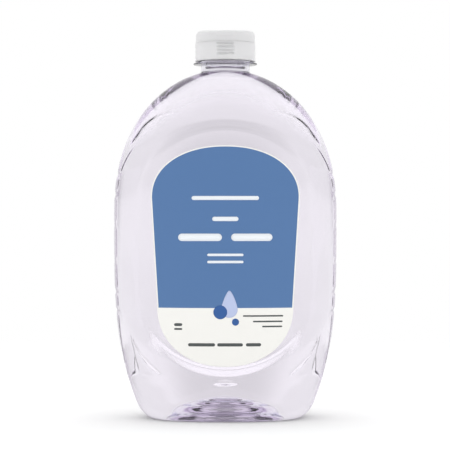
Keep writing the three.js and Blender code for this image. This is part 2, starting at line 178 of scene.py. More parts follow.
NECK_STEP, CLOSURE_STEP, LID_STEP, WASHER_STEP = 0.5, 0.22, 0.3, 0.6  # longest stretches of turned outlines
TURNED_COLUMNS = 192
WEB_RINGS = 13

LABEL_POINTS, LABEL_FINE_POINTS = 90, 600  # heights up each side of a label's edge
FILM_SHARES = [1, 0.992, 0.975, 0.94, *np.linspace(0.9, 0.1, 14), 0.04]
PLATE_SHARES = [0, 0.2, 0.5, 0.8, 1]
BAR_STEP, BAR_END_RINGS = 1.2, 8  # longest stretch along a printed bar, and rings round its end
DISC_POINTS, DROP_POINTS, FLOOR_POINTS = 40, 64, 96

# ---- Colours and light ---------------------------------------------------------------------------------

PET_IOR, SOAP_IOR = 1.57, 1.36
PET_TINT, PET_DENSITY = (0.42, 0.36, 0.74), 26
SOAP_TINT, SOAP_DENSITY = (0.42, 0.20, 0.55), 2.9
OFF_WHITE = (0.905, 0.898, 0.86)
LABEL_BLUE = (0.076, 0.178, 0.388)
INKS = {
    "pale_ink": (0.86, 0.9, 0.94), "grey_ink": (0.07, 0.08, 0.08), "drop_ink": (0.5, 0.57, 0.8),
    "bubble_ink": (0.02, 0.1, 0.33),
}
CLOSURE_WHITE = (0.945, 0.942, 0.955)
FOAM_WHITE = (0.88, 0.88, 0.86)
FLOOR_GREY = (0.88, 0.88, 0.88)
FLOOR_PAINTED_GLOW = 0.1  # painted glow: the floor gives off a faint light of its own, which lightens the shade under and round the bottle
FLOOR_FADE_FROM, FLOOR_FADE_TO = 0.2, 0.8  # in metres from the middle

# Brightness of the studio as glass and gloss see it: by height (the sine of the elevation), by side, and
# less in a patch low on the horizon before and behind.
STUDIO_BY_HEIGHT = [
    (-1, 0.97), (-0.3, 0.97), (-0.12, 0.92), (-0.04, 0.94), (-0.012, 1), (0.025, 1), (0.06, 0.92),
    (0.15, 0.92), (0.3, 0.97), (1, 1),
]
STUDIO_BY_SIDE = [(-1, 0.8), (-0.6, 1), (0.55, 1), (1, 0.7)]
PATCH = dict(stretch=1.5, inner=0.03, outer=0.16, brightness=0.8)
DIFFUSE_FRONT, DIFFUSE_BACK = 0.92, 1.46  # brightness of the light on matt surfaces
LIGHT_BOUNCES, GLOSSY_BOUNCES = 24, 12

CAMERA_AT = (-0.0002, -1.106, 0.1177)
LENS, SENSOR = 144.1, 36


# ---- Small tools ---------------------------------------------------------------------------------------

def smoothstep(t):
    """0 below 0 and 1 above 1, easing from one to the other."""
    t = np.clip(t, 0, 1)
    return t * t * (3 - 2 * t)


def curve_through(knots):
    """A smooth curve through (x, y) knots, level beyond both ends."""
    xs, ys = np.array(knots, float).T
    slopes = np.zeros(len(xs))
    slopes[1:-1] = (ys[2:] - ys[:-2]) / (xs[2:] - xs[:-2])

    def at(x):
        i = np.clip(np.searchsorted(xs, x) - 1, 0, len(xs) - 2)
        span = xs[i + 1] - xs[i]
        rise = ys[i + 1] - ys[i]
        t = np.clip((x - xs[i]) / span, 0, 1)
        start, end = slopes[i] * span, slopes[i + 1] * span
        return ys[i] + t * start + t**2 * (3 * rise - 2 * start - end) + t**3 * (start + end - 2 * rise)

    return at


def rounded(corners, steps=5):
    """The points of an outline whose corners (x, y, radius) become arcs. Both ends stay as they are."""
    points = [np.array(corners[0][:2], float)]
    for before, corner, after in zip(corners, corners[1:], corners[2:]):
        at = np.array(corner[:2], float)
        back, ahead = np.array(before[:2]) - at, np.array(after[:2]) - at
        back, ahead = back / np.linalg.norm(back), ahead / np.linalg.norm(ahead)
        half = np.arccos(np.clip(back @ ahead, -1, 1)) / 2
        radius = corner[2]
        if radius == 0:
            points.append(at)
            continue
        middle = (back + ahead) / np.linalg.norm(back + ahead)
        centre = at + middle * radius / np.sin(half)
        start = at + back * radius / np.tan(half) - centre
        end = at + ahead * radius / np.tan(half) - centre
        turn = np.pi - 2 * half
        for share in np.linspace(0, 1, steps + 1):
            arc = np.sin((1 - share) * turn) * start + np.sin(share * turn) * end
            points.append(centre + arc / np.sin(turn))
    points.append(np.array(corners[-1][:2], float))
    return np.array(points)


def refined(points, longest):
    """The same outline with points added so that no stretch is longer than `longest`."""
    out = [points[0]]
    for start, end in zip(points, points[1:]):
        count = max(1, math.ceil(np.linalg.norm(end - start) / longest))
        out += [start + (end - start) * i / count for i in range(1, count + 1)]
    return np.array(out)


def loft_faces(sizes, cyclic):
    """Faces between neighbouring rings, each of one point or of the same number of points."""
    starts = np.cumsum([0] + sizes[:-1])
    pairs = list(zip(range(len(sizes) - 1), range(1, len(sizes))))
    if cyclic:
        pairs.append((len(sizes) - 1, 0))
    faces, rows = [], []
    for a, b in pairs:
        count = max(sizes[a], sizes[b])
        i = np.arange(count)
        j = (i + 1) % count
        if sizes[a] == 1:
            ring = np.stack([np.full(count, starts[a]), starts[b] + j, starts[b] + i], 1)
        elif sizes[b] == 1:
            ring = np.stack([starts[a] + i, starts[a] + j, np.full(count, starts[b])], 1)
        else:
            ring = np.stack([starts[a] + i, starts[a] + j, starts[b] + j, starts[b] + i], 1)
        faces += ring.tolist()
        rows += [a] * count
    return faces, rows


def make_object(name, points, faces, material):
    """A smooth-shaded mesh object from points in millimetres."""
    mesh = bpy.data.meshes.new(name)
    mesh.from_pydata((np.asarray(points, float) * MM).tolist(), [], faces)
    mesh.shade_smooth()
    mesh.materials.append(material)
    thing = bpy.data.objects.new(name, mesh)
    bpy.context.scene.collection.objects.link(thing)
    return thing


def loft(name, rings, material, cyclic=False, flags=None):
    """A closed mesh through rings. `flags` names a face attribute and gives its value on each band."""
    rings = [np.atleast_2d(ring) for ring in rings]
    faces, rows = loft_faces([len(ring) for ring in rings], cyclic)
    thing = make_object(name, np.concatenate(rings), faces, material)
    if flags:
        attribute = thing.data.attributes.new(flags[0], "FLOAT", "FACE")
        attribute.data.foreach_set("value", np.array(flags[1], np.float32)[rows])
    return thing


def full_turn(count):
    """Angles evenly round a full turn."""
    return np.linspace(0, 2 * np.pi, count + 1)[:-1]


TURN = full_turn(TURNED_COLUMNS)


def circle(radius, z, angles):
    """A ring about the middle line, with one radius or one for each angle."""
    return np.stack([radius * np.cos(angles), radius * np.sin(angles), np.full(len(angles), z)], 1)


def place(thing, body, slot, *nodes):
    """Put a piece on a body, and in place of these CAD nodes. The slot is not used."""
    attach(thing, body)
    if nodes:
        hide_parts(*nodes)


# ---- Body surface --------------------------------------------------------------------------------------

def half_size(z, half, shoulder_from, rise, curve, tuck_from, tuck, tuck_power):
    """A half-size of the body by height: rolling over to the neck and tucked in at the base."""
    apex = (NECK_BASE_Z - shoulder_from) / (1 - (NECK_R / half) ** curve) ** (1 / rise)
    up = np.clip((z - shoulder_from) / apex, 0, 1)
    down = np.clip((tuck_from - z) / tuck_from, 0, 1)
    return half * (1 - up**rise) ** (1 / curve) - tuck * down**tuck_power


def half_width(z):
    return half_size(z, **BODY_WIDTH)


def half_depth(z):
    return half_size(z, **BODY_DEPTH)


def exponent(z):
    """How square the body's outline is at height z: 2 is an ellipse."""
    share = smoothstep((z - EXPONENT_FROM_Z) / (NECK_BASE_Z - EXPONENT_FROM_Z))
    return BODY_EXPONENT + (NECK_EXPONENT - BODY_EXPONENT) * share


grip_edge = curve_through(GRIP_EDGE)


def grip_proud(z):
    """How far the grips stand out at height z."""
    low = smoothstep((z - GRIP_FROM_Z) / GRIP_FADE_LOW)
    return GRIP_PROUD * low * smoothstep((GRIP_TO_Z - z) / GRIP_FADE_HIGH)


def grip_edge_width(z):
    return np.interp(z, *np.array(GRIP_EDGE_WIDTH).T)


def groove_depth(z):
    """Depth of the grooves across the grips at height z."""
    from_centre = np.abs(z - GROOVE_CENTRE_Z)
    depths = [d * (1 - smoothstep(np.abs(from_centre - at) / GROOVE_HALF_WIDTH)) for at, d in GROOVES]
    return np.max(depths, axis=0)


def crease_line(crease, z):
    """Where a crease crosses height z, as a share of the half-depth, and how steeply it runs across."""
    zs, shares = np.array(crease["line"], float).T
    slope = (np.interp(z + 1, zs, shares) - np.interp(z - 1, zs, shares)) / 2 * half_depth(z)
    return np.interp(z, zs, shares), np.sqrt(1 + slope**2)


def crease_depth(z, share):
    """Depth of the fine creases at height z and a share of the half-depth."""
    depth = 0
    for crease in CREASES:
        middle, lean = crease_line(crease, z)
        away = np.abs(share - middle) * half_depth(z) / lean
        low, high = crease["line"][0][0], crease["line"][-1][0]
        ends = smoothstep((z - low) / CREASE_FADE) * smoothstep((high - z) / CREASE_FADE)
        depth = depth + crease["depth"] * ends * (1 - smoothstep(away / crease["half_width"]))
    return depth


def label_half_width(z):
    """Half-width of the label outline at height z."""
    heights = [LABEL_BOWL["z"], LABEL_ARCH["z"]]
    taper = np.interp(z, heights, [LABEL_BOWL["half_width"], LABEL_ARCH["half_width"]])
    for end, past in ((LABEL_BOWL, LABEL_BOWL["z"] - z), (LABEL_ARCH, z - LABEL_ARCH["z"])):
        share = np.clip(past / end["height"], 0, 1)
        taper = taper * (1 - share ** end["power"]) ** (1 / end["power"])
    return taper


def panel_depth(x, z):
    """Depth of the recess round the label at (x, z)."""
    middle = np.clip(z, LABEL_BOWL["z"], LABEL_ARCH["z"])
    above = LABEL_ARCH["height"] + PANEL["above"]
    below = LABEL_BOWL["height"] + PANEL["below"]
    height = np.where(z > middle, above, below)
    width = label_half_width(middle) + PANEL["beside"]
    past = (np.hypot(x / width, (z - middle) / height) - 1) * width
    return PANEL["depth"] * (1 - smoothstep(past / PANEL["slope"] + 1))


def mark_depth(x, z, angle):
    """Depth of the small recess low on the front."""
    away = np.hypot(x / MARK["half_width"], (z - MARK["z"]) / MARK["half_height"])
    depth = MARK["depth"] * (1 - smoothstep((away - MARK["level"]) / (1 - MARK["level"])))
    return np.where(np.sin(angle) < 0, depth, 0)


def column_shares(z):
    """Shares of the half-depth where the blocks of columns meet at height z, from the side to the face."""
    depth = half_depth(z)
    crosses = []
    for crease in CREASES:
        middle, lean = crease_line(crease, z)
        reach = crease["half_width"] * lean / depth
        crosses.append((middle - reach, middle + reach))
    edge = grip_edge(z)
    foot = edge - grip_edge_width(z) / depth
    low, high = crosses[0]
    down = max(0, high - foot + COLUMN_GAP)  # the shoulder crease stays on the grip
    shares = [0, low - down, high - down, foot, edge]
    for low, high in crosses[1:]:
        up = max(0, shares[-1] + COLUMN_GAP - low)
        shares += [low + up, high + up]
    shares = np.array([*shares, 1])
    darts = shares[5:-1]
    darts[:] = edge + (darts - edge) * min(1, (LAST_DART_SHARE - edge) / (darts[-1] - edge))
    return shares


def column_angles(z):
    """Angles round the body at height z, close together along the grips' edges and the creases."""
    at = np.arcsin(column_shares(z) ** (exponent(z) / 2))
    blocks = [np.linspace(start, end, count, endpoint=False) for start, end, count in
              zip(at[:-2], at[1:-1], COLUMN_BLOCKS)]
    even = np.arange(COLUMN_BLOCKS[-1]) / COLUMN_BLOCKS[-1]
    face_share = (1 - FACE_COLUMN_EASE) * even + FACE_COLUMN_EASE * even**2
    blocks.append(at[-2] + (np.pi / 2 - at[-2]) * face_share)
    quarter = np.concatenate(blocks)
    half = np.concatenate([quarter, [np.pi / 2], np.pi - quarter[:0:-1]])
    return np.concatenate([half, half + np.pi])


def body_ring(z, inset=0.0, fine=True):
    """A ring of the body at height z, moved in by `inset` from the outer face."""
    angle = column_angles(z)
    heel = HEEL_INSET * (1 - math.sqrt(1 - min(1, max(0, (HEEL_HEIGHT - z) / HEEL_HEIGHT)) ** 2))
    shoulder_from = BODY_DEPTH["shoulder_from"]
    roll_over = inset * smoothstep((z - shoulder_from) / (WALL_TOP_Z - shoulder_from))
    proud = grip_proud(z)
    width = half_width(z + roll_over) - heel - inset
    depth = half_depth(z + roll_over) - heel - inset
    across = np.abs(np.cos(angle)) ** (2 / exponent(z))
    along = np.abs(np.sin(angle)) ** (2 / exponent(z))
    edge_share = grip_edge_width(z) / depth
    on_grip = 1 - smoothstep((along - grip_edge(z) + edge_share) / edge_share)
    x = (width - proud + on_grip * (proud - groove_depth(z))) * across
    y = depth * along - panel_depth(x, z)
    if fine:
        crease = crease_depth(z, along)
        x = x - crease * across
        y = y - crease * along - mark_depth(x * np.sign(np.cos(angle)), z, angle)
    return np.stack([x * np.sign(np.cos(angle)), y * np.sign(np.sin(angle)), np.full(len(angle), z)], 1)


def heel_rows(count):
    """Heights up the rounded heel, evenly round its curve."""
    return HEEL_HEIGHT * (1 - np.sin(np.linspace(np.pi / 2, 0, count)))


def shoulder_rows(start, top, count):
    """Heights up the top of the shoulder, closer together as it turns in."""
    return start + (top - start) * np.sin(np.linspace(0, np.pi / 2, count))


def wall_rows(start, end, coarseness=1.0):
    """Heights up the wall, closer together where it has fine creases."""
    zs, spacings = np.array(ROW_SPACING).T
    rows = [start]
    while rows[-1] < end:
        rows.append(rows[-1] + coarseness * np.interp(rows[-1], zs, spacings))
    rows = np.array(rows)
    return rows + (end - rows[-1]) * (rows - start) / (rows[-1] - start)


def scaled_ring(ring, share, z):
    """The same ring, drawn in to a share of its size at height z."""
    return np.stack([ring[:, 0] * share, ring[:, 1] * share, np.full(len(ring), z)], 1)


def wall_thickness(z):
    """Thickness of the wall at height z."""
    share = (z - NECK_WALL_FROM_Z) / (NECK_WALL_TO_Z - NECK_WALL_FROM_Z)
    return WALL + (NECK_WALL - WALL) * smoothstep(share)


def dome_height(share):
    """Height of the dome under the base, with its ribs, at a share of the way out to the body's edge."""
    fall = min(1, share / PUSH_UP_SHARE) ** PUSH_UP_POWER
    rib = RIB_HEIGHT * math.sin(2 * math.pi * PUSH_UP_RIBS * share / PUSH_UP_SHARE)
    return PUSH_UP_LIP + (PUSH_UP_HEIGHT - PUSH_UP_LIP) * (1 - fall) + rib * min(1, RIB_FADE * share)


def push_up_rings(shares, lift):
    """Rings of the pushed-up base at these shares of the foot, lifted from its outer face."""
    foot = body_ring(0.0)
    rings = []
    for share in shares:
        z = dome_height(share) * smoothstep((FOOT_SHARE - share) / (FOOT_SHARE - PUSH_UP_SHARE)) + lift
        rings.append(np.array([[0, 0, z]]) if share == 0 else scaled_ring(foot, share, z))
    return rings


# ---- Materials -----------------------------------------------------------------------------------------

def new_material(name, **values):
    """A material whose Principled shader has these values. Returns it with its nodes, links and shader."""
    material = bpy.data.materials.new(name)
    material.use_nodes = True
    nodes, links = material.node_tree.nodes, material.node_tree.links
    shader = nodes["Principled BSDF"]
    for socket, value in values.items():
        shader.inputs[socket.replace("_", " ")].default_value = value
    return material, nodes, links, shader


def add_bump(nodes, links, shader, scale, strength, distance):
    """Fine unevenness of the surface, from noise in object space."""
    place_at = nodes.new("ShaderNodeTexCoord")
    noise = nodes.new("ShaderNodeTexNoise")
    noise.inputs["Scale"].default_value = scale
    noise.inputs["Detail"].default_value = 2.0
    bump = nodes.new("ShaderNodeBump")
    bump.inputs["Strength"].default_value = strength
    bump.inputs["Distance"].default_value = distance
    links.new(place_at.outputs["Object"], noise.inputs["Vector"])
    links.new(noise.outputs["Fac"], bump.inputs["Height"])
    links.new(bump.outputs["Normal"], shader.inputs["Normal"])


def add_absorption(nodes, links, colour, density):
    """Light is taken up inside the material, by colour and by density for each metre."""
    absorption = nodes.new("ShaderNodeVolumeAbsorption")
    absorption.inputs["Color"].default_value = (*colour, 1)
    absorption.inputs["Density"].default_value = density
    links.new(absorption.outputs["Volume"], nodes["Material Output"].inputs["Volume"])


def math_node(nodes, links, operation, first, second):
    """A maths node on one output and on another output or a number. Returns its output."""
    node = nodes.new("ShaderNodeMath")
    node.operation = operation
    links.new(first, node.inputs[0])
    if isinstance(second, bpy.types.NodeSocket):
        links.new(second, node.inputs[1])
    else:
        node.inputs[1].default_value = second
    return node.outputs[0]


def map_range(nodes, links, value, kind="LINEAR", **sockets):
    """A node that moves an output from one range to another. Returns its output."""
    node = nodes.new("ShaderNodeMapRange")
    node.interpolation_type = kind
    for socket, number in sockets.items():
        node.inputs[socket.replace("_", " ")].default_value = number
    links.new(value, node.inputs["Value"])
    return node.outputs["Result"]


def length_of(nodes, links, vector):
    node = nodes.new("ShaderNodeVectorMath")
    node.operation = "LENGTH"
    links.new(vector, node.inputs[0])
    return node.outputs["Value"]


def read_attribute(nodes, name):
    node = nodes.new("ShaderNodeAttribute")
    node.attribute_name = name
    return node.outputs["Fac"]


def ior_by_face(nodes, links, shader, attribute, plain, marked):
    """The shader's IOR is `plain`, and `marked` on faces where the attribute is 1."""
    ior = map_range(nodes, links, read_attribute(nodes, attribute), To_Min=plain, To_Max=marked)
    shader.inputs["IOR"].default_value = plain
    links.new(ior, shader.inputs["IOR"])


def clear_pet():
    """The bottle's plastic, which meets air outside and soap on its wetted faces."""
    material, nodes, links, shader = new_material(
        "clear_pet", Base_Color=(1, 1, 1, 1), Roughness=0.0, Transmission_Weight=1.0)
    ior_by_face(nodes, links, shader, "wetted", PET_IOR, PET_IOR / SOAP_IOR)
    add_absorption(nodes, links, PET_TINT, PET_DENSITY)
    add_bump(nodes, links, shader, scale=60, strength=0.15, distance=0.0002)
    return material


def lavender_soap():
    """The soap. It bends light only at its free surface, and the wall's inner face does the rest."""
    material, nodes, links, shader = new_material(
        "lavender_soap", Base_Color=(1, 1, 1, 1), Roughness=0.0, Transmission_Weight=1.0)
    ior_by_face(nodes, links, shader, "free_surface", 1.0, SOAP_IOR)
    add_absorption(nodes, links, SOAP_TINT, SOAP_DENSITY)
    return material


def label_film():
    """A blue field over an off-white one, with a thin white edge, by height and distance from the edge."""
    material, nodes, links, shader = new_material("label_film", Roughness=0.38, IOR=1.5)
    place_at = nodes.new("ShaderNodeTexCoord")
    split = nodes.new("ShaderNodeSeparateXYZ")
    links.new(place_at.outputs["Object"], split.inputs["Vector"])
    is_high = math_node(nodes, links, "GREATER_THAN", split.outputs["Z"], LABEL_BOWL["z"] * MM)
    from_edge = read_attribute(nodes, "from_edge")
    is_inside = math_node(nodes, links, "GREATER_THAN", from_edge, LABEL_BORDER)
    mix = nodes.new("ShaderNodeMix")
    mix.data_type = "RGBA"
    mix.inputs["A"].default_value = (*OFF_WHITE, 1)
    mix.inputs["B"].default_value = (*LABEL_BLUE, 1)
    links.new(math_node(nodes, links, "MULTIPLY", is_high, is_inside), mix.inputs["Factor"])
    links.new(mix.outputs["Result"], shader.inputs["Base Color"])
    add_bump(nodes, links, shader, scale=900, strength=0.05, distance=0.00005)
    return material


def ink(name, colour):
    material, nodes, links, shader = new_material(name, Base_Color=(*colour, 1), Roughness=0.42)
    add_bump(nodes, links, shader, scale=1500, strength=0.05, distance=0.00003)
    return material


def milky_plastic():
    material, nodes, links, shader = new_material(
        "milky_plastic", Base_Color=(*CLOSURE_WHITE, 1), Roughness=0.4, IOR=1.49,
        Transmission_Weight=0.25, Subsurface_Weight=0.4, Subsurface_Radius=(1, 1, 1), Subsurface_Scale=0.003)
    add_bump(nodes, links, shader, scale=1200, strength=0.08, distance=0.00005)
    return material


def white_foam():
    material, nodes, links, shader = new_material("white_foam", Base_Color=(*FOAM_WHITE, 1), Roughness=0.85)
    add_bump(nodes, links, shader, scale=2500, strength=0.5, distance=0.0001)
    return material


# ---- Bottle and soap -----------------------------------------------------------------------------------

def thread_ridge(share, away, height, fade, crest, flank):
    """How far a thread stands out at a share of its length, this far from its middle line."""
    ends = smoothstep(np.minimum(share, 1 - share) * fade)
    return height * ends * (1 - smoothstep((away - crest) / flank))


def thread_rise(angles, z):
    """How far the neck's thread stands out at height z, at each angle."""
    rise = np.zeros(len(angles))
    for turn in range(2):
        turned = (-angles / (2 * np.pi)) % 1 + turn
        away = np.abs(z - THREAD_TOP_Z + turned * THREAD_PITCH)
        rise = np.maximum(rise, thread_ridge(turned / THREAD_TURNS, away, **THREAD))
    return rise


def neck_rings(angles):
    """The outside of the neck from the shoulder up, over the sealing land and down the bore."""
    outside = refined(rounded([
        (NECK_R + 1.2, NECK_BASE_Z - 0.25), (NECK_R, NECK_BASE_Z + 0.2, 0.5), (NECK_R, RING_LOW_Z, 0.3),
        (RING_R, RING_LOW_Z + 0.3, 0.5), (RING_R, RING_HIGH_Z - 0.5, 0.35), (NECK_R, RING_HIGH_Z, 0.3),
        (NECK_R, NECK_TOP_Z - 1),
    ], 4), NECK_STEP)
    inside = rounded([
        (NECK_R, NECK_TOP_Z - 1), (NECK_R, NECK_TOP_Z, 0.5), (BORE_R, NECK_TOP_Z, 0.5),
        (BORE_R, FILL_Z + 0.8, 0), (BORE_R, FILL_Z - 0.4, 0), (BORE_R, NECK_BASE_Z - 0.6, 1.2),
        (BORE_R + 2.4, NECK_BASE_Z - 1.3),
    ], 4)
    rings = []
    for radius, z in [*outside, *inside[1:]]:
        on_wall = abs(radius - NECK_R) < 1e-6 and z > RING_HIGH_Z
        rings.append(circle(radius + (thread_rise(angles, z) if on_wall else 0), z, angles))
    return rings[1:]


def inner_heights():
    """Heights of the rings on the inside of the wall, from part way up the heel, where the floor ends."""
    heel = heel_rows(INNER_HEEL_ROWS)[INNER_HEEL_SKIP:]
    wall = wall_rows(HEEL_HEIGHT, SHOULDER_FROM_Z, INNER_COARSENESS)
    shoulder = shoulder_rows(SHOULDER_FROM_Z, INNER_TOP_Z, INNER_SHOULDER_ROWS)
    return [*heel, *wall[1:], *shoulder[1:]]


def make_bottle(material):
    """The bottle as one closed wall: under the base, up the outside, down the inside and over the floor."""
    wall = wall_rows(HEEL_HEIGHT, SHOULDER_FROM_Z)
    shoulder = shoulder_rows(SHOULDER_FROM_Z, NECK_BASE_Z - 0.25, SHOULDER_ROWS)
    outer = [body_ring(z) for z in [*heel_rows(HEEL_ROWS), *wall[1:], *shoulder[1:]]]
    inner = [body_ring(z, wall_thickness(z), fine=False) for z in inner_heights()]
    neck = neck_rings(column_angles(NECK_BASE_Z))
    base = push_up_rings(BASE_SHARES, 0)
    floor = push_up_rings([FOOT_SHARE, *FLOOR_SHARES[::-1]], BASE_THICKNESS)
    rings = base + outer + neck + inner[::-1] + floor
    wet_from = len(base) + len(outer) + next(
        i for i, ring in enumerate(neck) if i > len(neck) / 2 and ring[0, 2] < FILL_Z)
    wetted = (np.arange(len(rings)) >= wet_from).astype(float)
    return loft("clear_bottle", rings, material, flags=("wetted", wetted))


def make_soap(material):
    """The soap, a hair's breadth inside the wall, with a brim that curves up where it meets the neck."""
    angles = column_angles(NECK_BASE_Z)
    wall = [body_ring(z, wall_thickness(z) + FILM_GAP, fine=False) for z in inner_heights()]
    floor = push_up_rings([*FLOOR_SHARES, SOAP_FOOT_SHARE], BASE_THICKNESS + FILM_GAP)
    neck_r = BORE_R - FILM_GAP
    neck = [circle(neck_r + out, z, angles) for out, z in SOAP_NECK]
    surface = [circle(neck_r + out, FILL_Z + up, angles) for out, up in SOAP_BRIM]
    surface += [circle(SOAP_LEVEL_R, FILL_Z, angles), np.array([[0, 0, FILL_Z]])]
    rings = floor + wall + neck + surface
    free = (np.arange(len(rings)) >= len(rings) - len(surface)).astype(float)
    return loft("soap_fill", rings, material, flags=("free_surface", free))


# ---- Labels --------------------------------------------------------------------------------------------

def face_y(x, z):
    """Depth from the middle plane of the recess floor under the label at (x, z)."""
    n = exponent(z)
    across = np.abs(x) / (half_width(z) - grip_proud(z))
    return half_depth(z) * (1 - across**n) ** (1 / n) - PANEL["depth"]


def on_face(x, z, side, lift):
    """Points on a label's face, `lift` above the recess floor. The side is -1 in front and 1 behind."""
    return np.stack([x, side * (face_y(x, z) + lift), z], 1)


LABEL_LOW_Z = LABEL_BOWL["z"] - LABEL_BOWL["height"]
LABEL_HIGH_Z = LABEL_ARCH["z"] + LABEL_ARCH["height"]
LABEL_MIDDLE = np.array([0, (LABEL_LOW_Z + LABEL_HIGH_Z) / 2])


def label_outline(count, scale):
    """Points round a label's edge, scaled about its middle height."""
    z = LABEL_MIDDLE[1] - (LABEL_HIGH_Z - LABEL_LOW_Z) / 2 * np.cos(np.linspace(0, np.pi, count))
    width = label_half_width(z)
    outline = np.concatenate([np.stack([width, z], 1), np.stack([-width, z], 1)[-2:0:-1]])
    return LABEL_MIDDLE + (outline - LABEL_MIDDLE) * scale


def make_label(name, side, scale, material):
    """A thin closed film: rings shrink from its edge to its middle, over and under."""
    outline = label_outline(LABEL_POINTS, scale)
    flat = [LABEL_MIDDLE + (outline - LABEL_MIDDLE) * share for share in FILM_SHARES] + [LABEL_MIDDLE[None]]
    under = [on_face(ring[:, 0], ring[:, 1], side, FILM_GAP) for ring in flat[::-1]]
    over = [on_face(ring[:, 0], ring[:, 1], side, FILM_GAP + FILM_THICKNESS) for ring in flat]
    rings, printed = under + over, [False] * len(under) + [True] * len(over)
    if side > 0:
        rings, printed = rings[::-1], printed[::-1]
    film = loft(name, rings, material)
    fine_outline = label_outline(LABEL_FINE_POINTS, scale)
    away = []
    for ring, on_print in zip(rings, printed):
        for point in ring[:, [0, 2]]:
            away.append(np.sqrt(((fine_outline - point) ** 2).sum(1).min()) if on_print else 0)
    attribute = film.data.attributes.new("from_edge", "FLOAT", "POINT")
    attribute.data.foreach_set("value", np.array(away, np.float32))
    return film


# A plate of ink is rings of (x, z, share of the ink's thickness), which close it from end to end.

def plate_within(outline):
    """The plate of a small shape: out from the middle underneath, and back to it on top."""
    middle = outline.mean(0)
    rings = []
    for share, top in [(share, 0) for share in PLATE_SHARES] + [(share, 1) for share in PLATE_SHARES[::-1]]:
        ring = middle + (outline - middle) * share
        rings.append(np.column_stack([ring, np.full(len(ring), top)])[:1 if share == 0 else None])
    return rings


def bar(x, z, width, height):
    """The plate of a bar with round ends, from its left tip to its right one."""
    reach, radius = (width - height) / 2, height / 2
    turn = np.linspace(0, np.pi / 2, BAR_END_RINGS)
    end = [(reach + radius * math.sin(t), radius * math.cos(t)) for t in turn[:-1]]
    steps = math.ceil(2 * reach / BAR_STEP)
    middle = [(-reach + 2 * reach * i / steps, radius) for i in range(1, steps)]
    rings = [np.array([(x - width / 2, z, 0.5)])]
    for at, half in [*((-at, half) for at, half in end[::-1]), *middle, *end]:
        low, high = z - half, z + half
        rings.append(np.array([(x + at, low, 0), (x + at, high, 0), (x + at, high, 1), (x + at, low, 1)]))
    rings.append(np.array([(x + width / 2, z, 0.5)]))
    return rings


def disc(x, z, radius):
    turn = full_turn(DISC_POINTS)
    return plate_within(np.stack([x + radius * np.cos(turn), z + radius * np.sin(turn)], 1))


def drop(x, z, radius, height):
    """An upright drop: a round foot of this radius about (x, z), drawn out to a point `height` above it."""
    turn = full_turn(DROP_POINTS) + np.pi / 2
    up = np.clip(np.sin(turn), 0, 1)
    across = radius * np.cos(turn) * (1 - DROP_WAIST * up**2)
    upward = np.where(np.sin(turn) > 0, height * up**DROP_POINT, radius * np.sin(turn))
    return plate_within(np.stack([x + across, z + upward], 1))


def make_print(name, side, plates, material, raised=0):
    """One object of thin closed ink plates on a label's face, or raised to lie over other ink."""
    under_lift = FILM_GAP + FILM_THICKNESS + INK_GAP + raised
    points, faces = [], []
    for plate in plates:
        rings = []
        for x, z, top in map(np.transpose, plate):
            rings.append(on_face(x, z, side, under_lift + INK_THICKNESS * top))
        if side > 0:
            rings = rings[::-1]
        new_faces, _ = loft_faces([len(ring) for ring in rings], False)
        start = sum(len(block) for block in points)
        faces += [[start + i for i in face] for face in new_faces]
        points += rings
    return make_object(name, np.concatenate(points), faces, material)


def make_prints():
    """The plain print on both labels, each colour one object."""
    pale, grey, drop_blue, bubble_blue = (ink(name, colour) for name, colour in INKS.items())
    over_ink = INK_THICKNESS + INK_GAP
    return [
        make_print("front_bars", -1, [bar(*row) for row in PALE_BARS], pale),
        make_print("front_small_print", -1, [bar(*row) for row in GREY_BARS + SMALL_BARS], grey),
        make_print("front_drop", -1, [drop(**DROP)], drop_blue),
        make_print("front_bubbles", -1, [disc(*row) for row in BUBBLES], bubble_blue, over_ink),
        make_print("back_bars", 1, [bar(*row) for row in [BACK_TITLE, *BACK_TEXT]], pale),
        make_print("back_small_print", 1, [bar(*row) for row in BACK_GREY_BARS], grey),
    ]


# ---- Closure -------------------------------------------------------------------------------------------

def band(value, low, high, soft):
    """1 between low and high, easing to 0 over `soft` at both."""
    return smoothstep((value - low) / soft + 0.5) * smoothstep((high - value) / soft + 0.5)


def flattened(radius, z, angles, plane_y, mask):
    """Radii moved to a flat plane at this y where mask is 1."""
    with np.errstate(divide="ignore"):
        flat = np.abs(plane_y / np.sin(angles))
    flat = np.where(np.isfinite(flat), np.minimum(flat, 1e3), 1e3)
    return radius + mask * (flat - radius)


def thumb_width(radius):
    """1 across the front of the closure where the thumb goes, at each angle."""
    return band(radius * np.cos(TURN), -THUMB["width"] / 2, THUMB["width"] / 2, SIDE_SOFT) * (np.sin(TURN) < 0)


def thumb_radius(radius, z):
    """The closure's outer radius at height z with the thumb recess pressed in at the front."""
    top = PARTING_Z - THUMB["top_gap"]
    slot_height = (THUMB["height"] - THUMB["ridges"] * THUMB["ridge"]) / (THUMB["ridges"] + 1)
    pitch = slot_height + THUMB["ridge"]
    tops = [top - i * pitch for i in range(THUMB["ridges"] + 1)]
    in_slot = max(band(z, slot_top - slot_height, slot_top, SLOT_SOFT) for slot_top in tops)
    depth = THUMB["shelf"] + (THUMB["slot"] - THUMB["shelf"]) * in_slot
    mask = thumb_width(radius) * band(z, top - THUMB["height"], top, END_SOFT)
    pressed = flattened(radius, z, TURN, SHELL_BOTTOM_R - depth, mask)
    return np.minimum(radius, pressed)


def strap_radius(radius, z, low, high):
    """Radii with the hinge strap standing out at the back between two heights."""
    x = HINGE_OUT * np.cos(TURN)
    mask = band(x, -HINGE_WIDTH / 2, HINGE_WIDTH / 2, SIDE_SOFT) * (np.sin(TURN) > 0)
    mask = mask * band(z, low, high, STRAP_SOFT)
    return np.maximum(radius, flattened(radius, z, TURN, HINGE_OUT, mask))


